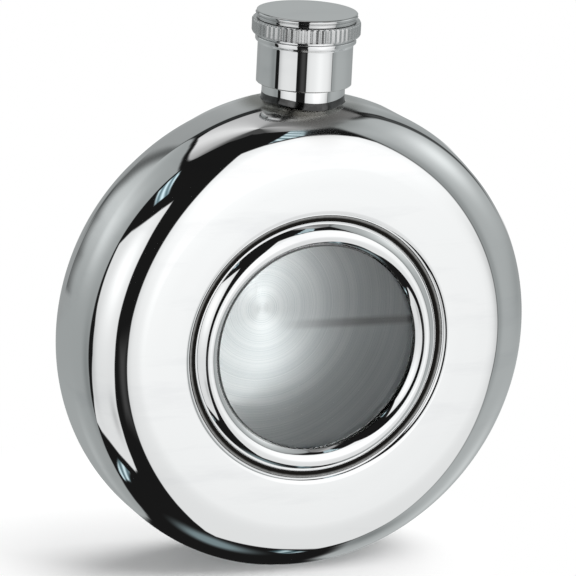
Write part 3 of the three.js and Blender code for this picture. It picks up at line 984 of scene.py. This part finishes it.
def tentTones(az, el):
    tones = np.full(az.shape + (3,), float(tent["dark"]))
    tones += easeIn(-el, *tent["tableEdge"])[:, None] * np.array(tent["table"], float)
    edge = np.interp(az, *zip(*ceiling["edge"]))
    roof = np.interp(az, *zip(*ceiling["tone"]))
    cover = easeIn(el - edge, -ceiling["soft"], ceiling["soft"])[:, None]
    tones = tones * (1 - cover) + roof[:, None] * cover
    for panel in panels.values():
        depth = np.maximum.reduce([insideDepth(az + turn, el, panel["corners"]) for turn in (-360, 0, 360)])
        cover = easeIn(depth, -panel["soft"], panel["soft"])[:, None]
        paint = np.ones(tones.shape) * panel["tone"]
        for glow in panel.get("glows", []):
            paint += spotLight(az, el, *glow)[:, None]
        if "stripes" in panel:
            count, lean = panel["stripes"]
            paint += (tent["stripeDepth"] * np.sin((el * count + az * lean) * tent["stripePitch"]))[:, None]
        tones = tones * (1 - cover) + np.clip(paint, 0, 255) * cover
    return screenToLight(tones / 255) / tent["steel"]


def lampLift(az, el):
    # how much more than the cloth the lamps behind it give, to rays that leave through the pane
    whole = np.ones(az.shape)
    for lamp in tent["lamps"]:
        whole *= 1 + spotLight(az, el, *lamp)
    return whole - 1


def makeTent():
    columns, rows = tent["columns"], tent["rows"]
    data = bpy.data.meshes.new("light_tent")
    el, az = np.meshgrid(np.linspace(-90, 90, rows + 1), np.arange(columns) * 360 / columns, indexing="ij")
    el, az = el.ravel(), az.ravel()
    a, e = np.radians(az + shot["azimuth"]), np.radians(el)
    spots = np.stack([np.sin(a) * np.cos(e), -np.cos(a) * np.cos(e), np.sin(e)], 1) * tent["radius"]
    spots[:, 2] += bodyCentre[2] * mm
    faces = []
    for start in range(0, rows * columns, columns):
        above = start + columns
        for i in range(columns):
            n = (i + 1) % columns
            faces.append((start + i, start + n, above + n, above + i))
    data.from_pydata(spots.tolist(), [], faces)
    az = (az + 180) % 360 - 180
    tones = np.column_stack([tentTones(az, el), lampLift(az, el)]).astype(np.float32)
    data.color_attributes.new("tone", "FLOAT_COLOR", "POINT").data.foreach_set("color", tones.ravel())
    material = bpy.data.materials.new("tent_cloth")
    material.use_nodes = True
    tree = material.node_tree
    tree.nodes.clear()
    tone = joinNodes(tree, "ShaderNodeVertexColor", layer_name="tone")
    path = joinNodes(tree, "ShaderNodeLightPath")
    lift = figure(tree, "MULTIPLY", tone.outputs["Alpha"], path.outputs["Is Transmission Ray"])
    glow = joinNodes(tree, "ShaderNodeEmission", {
        "Color": tone.outputs["Color"], "Strength": figure(tree, "ADD", lift, 1.0)})
    out = tree.nodes.new("ShaderNodeOutputMaterial")
    tree.links.new(glow.outputs[0], out.inputs[0])
    material.cycles.emission_sampling = "NONE"
    data.materials.append(material)
    cloth = bpy.data.objects.new("light_tent", data)
    scene.collection.objects.link(cloth)
    cloth.visible_camera = cloth.visible_diffuse = cloth.visible_shadow = False


floor = dict(radius=0.42, middle=(-0.012, 0.018, 0), fade=(0.026, 0.064), white=(0.92, 0.92, 0.92, 1), rough=0.8,
             shine=0.1, segments=128)


def makeFloor():
    mesh = bmesh.new()
    bmesh.ops.create_circle(mesh, cap_ends=True, segments=floor["segments"], radius=floor["radius"])
    data = bpy.data.meshes.new("table_top")
    mesh.to_mesh(data)
    mesh.free()
    material, tree, shader = newMaterial("table_white")
    shader.inputs["Base Color"].default_value = floor["white"]
    shader.inputs["Roughness"].default_value = floor["rough"]
    shader.inputs["Specular IOR Level"].default_value = floor["shine"]
    point = joinNodes(tree, "ShaderNodeTexCoord").outputs["Object"]
    away = joinNodes(tree, "ShaderNodeVectorMath", {0: point, 1: floor["middle"]},
                     operation="DISTANCE").outputs["Value"]
    fade = smoothSpan(tree, away, *floor["fade"])
    paper = joinNodes(tree, "ShaderNodeEmission", {"Color": (1, 1, 1, 1), "Strength": 1.0})
    mix = joinNodes(tree, "ShaderNodeMixShader", {0: fade, 1: shader.outputs[0], 2: paper.outputs[0]})
    out = next(n for n in tree.nodes if n.type == "OUTPUT_MATERIAL")
    tree.links.new(mix.outputs[0], out.inputs[0])
    material.cycles.emission_sampling = "NONE"
    data.materials.append(material)
    top = bpy.data.objects.new("table_top", data)
    scene.collection.objects.link(top)
    top.visible_glossy = False


lamps = dict(
    key=dict(azimuth=138.0, elevation=60.0, distance=1.3, size=0.9, power=10.0),
    side=dict(azimuth=60.0, elevation=60.0, distance=1.3, size=1.0, power=10.0),
)


def makeLamps():
    for name, facts in lamps.items():
        lamp = bpy.data.lights.new(name + "_lamp", "AREA")
        lamp.shape, lamp.size, lamp.energy = "DISK", facts["size"], facts["power"]
        shade = bpy.data.objects.new(name + "_lamp", lamp)
        scene.collection.objects.link(shade)
        back = directionFrom(facts["azimuth"], facts["elevation"])
        shade.location = back * facts["distance"]
        shade.rotation_mode = "QUATERNION"
        shade.rotation_quaternion = back.to_track_quat("Z", "Y")
        shade.visible_glossy = shade.visible_transmission = False


room = dict(lit=0.5, seen=1.0)


def makeWorld():
    world = bpy.data.worlds.new("white_room")
    scene.world = world
    world.use_nodes = True
    tree = world.node_tree
    tree.nodes.clear()
    path = tree.nodes.new("ShaderNodeLightPath")
    seen = figure(tree, "MAXIMUM", path.outputs["Is Camera Ray"],
                  figure(tree, "MAXIMUM", path.outputs["Is Glossy Ray"], path.outputs["Is Transmission Ray"]))
    level = span(tree, seen, 0, 1, room["lit"], room["seen"])
    sky = joinNodes(tree, "ShaderNodeBackground", {"Color": (1, 1, 1, 1), "Strength": level})
    out = tree.nodes.new("ShaderNodeOutputWorld")
    tree.links.new(sky.outputs[0], out.inputs[0])


makeTent()
makeFloor()
makeLamps()
makeWorld()
print("studio made")
